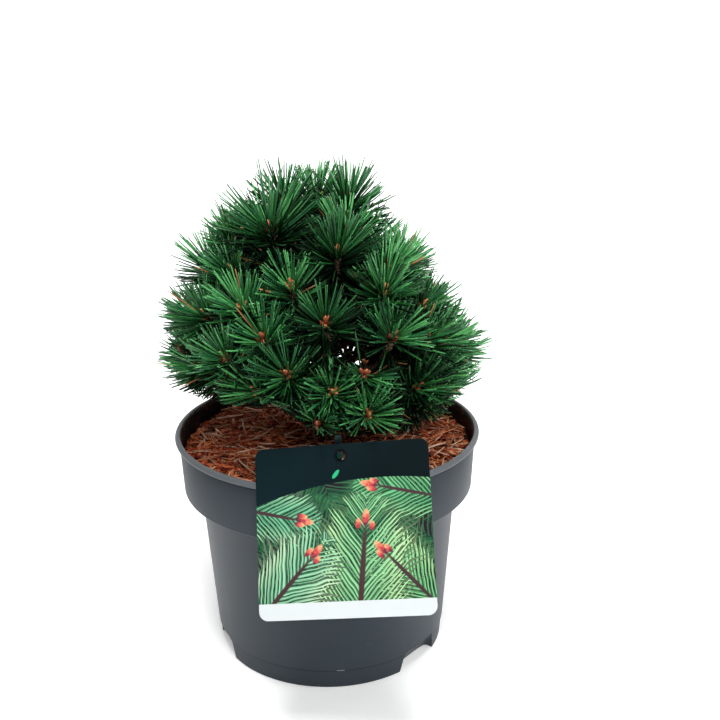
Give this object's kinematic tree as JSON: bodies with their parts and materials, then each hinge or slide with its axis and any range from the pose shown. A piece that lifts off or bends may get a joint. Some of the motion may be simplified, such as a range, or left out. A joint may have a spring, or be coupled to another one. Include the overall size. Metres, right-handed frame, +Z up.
{
  "type": "potted mugo pine",
  "caption": "Dwarf mugo pine with a dense dome of needle sprays on short boughs, standing in a round, deep-collared nursery pot with a label card that bears no lettering.",
  "frame": {"origin": "centre of the pot's flat underside, where it stands", "axes": "+Z up the pot's axis, -Y towards the label card at the front, +X to the right seen from the front"},
  "size_m": [0.2576, 0.3049, 0.369],
  "materials": {
    "pot": "dark grey moulded plastic, satin",
    "mix": "reddish bark and coir shreds, rough",
    "card": "thin printed plastic card, semi-gloss",
    "stake": "dark green plastic",
    "bark": "scaly brown bark",
    "needles": "deep green needles, satin"
  },
  "bodies": {
    "root": {"pot": "pot", "potting_mix": "mix", "label_card": "card", "label_stake": "stake", "trunk": "bark", "bough_crest_left": "bark", "bough_crest_front": "bark", "bough_crest_right": "bark", "bough_crest_back": "bark", "bough_crest_back_left": "bark", "bough_left_shoulder": "bark", "bough_left_side": "bark", "bough_left_front": "bark", "bough_front": "bark", "bough_right_front": "bark", "bough_right_shoulder": "bark", "bough_left_low": "bark", "bough_front_low_left": "bark", "bough_front_low": "bark", "bough_right_low": "bark", "bough_right_side": "bark", "bough_right_back": "bark", "bough_back_right": "bark", "bough_back": "bark", "bough_back_left": "bark", "bough_left_back": "bark", "needles_top": "needles", "needles_crest_left": "needles", "needles_crest_front": "needles", "needles_crest_right": "needles", "needles_crest_back": "needles", "needles_crest_back_left": "needles", "needles_left_shoulder": "needles", "needles_left_side": "needles", "needles_left_front": "needles", "needles_front": "needles", "needles_right_front": "needles", "needles_right_shoulder": "needles", "needles_left_low": "needles", "needles_front_low_left": "needles", "needles_front_low": "needles", "needles_right_low": "needles", "needles_right_side": "needles", "needles_right_back": "needles", "needles_back_right": "needles", "needles_back": "needles", "needles_back_left": "needles", "needles_left_back": "needles"}
  },
  "joints": []
}
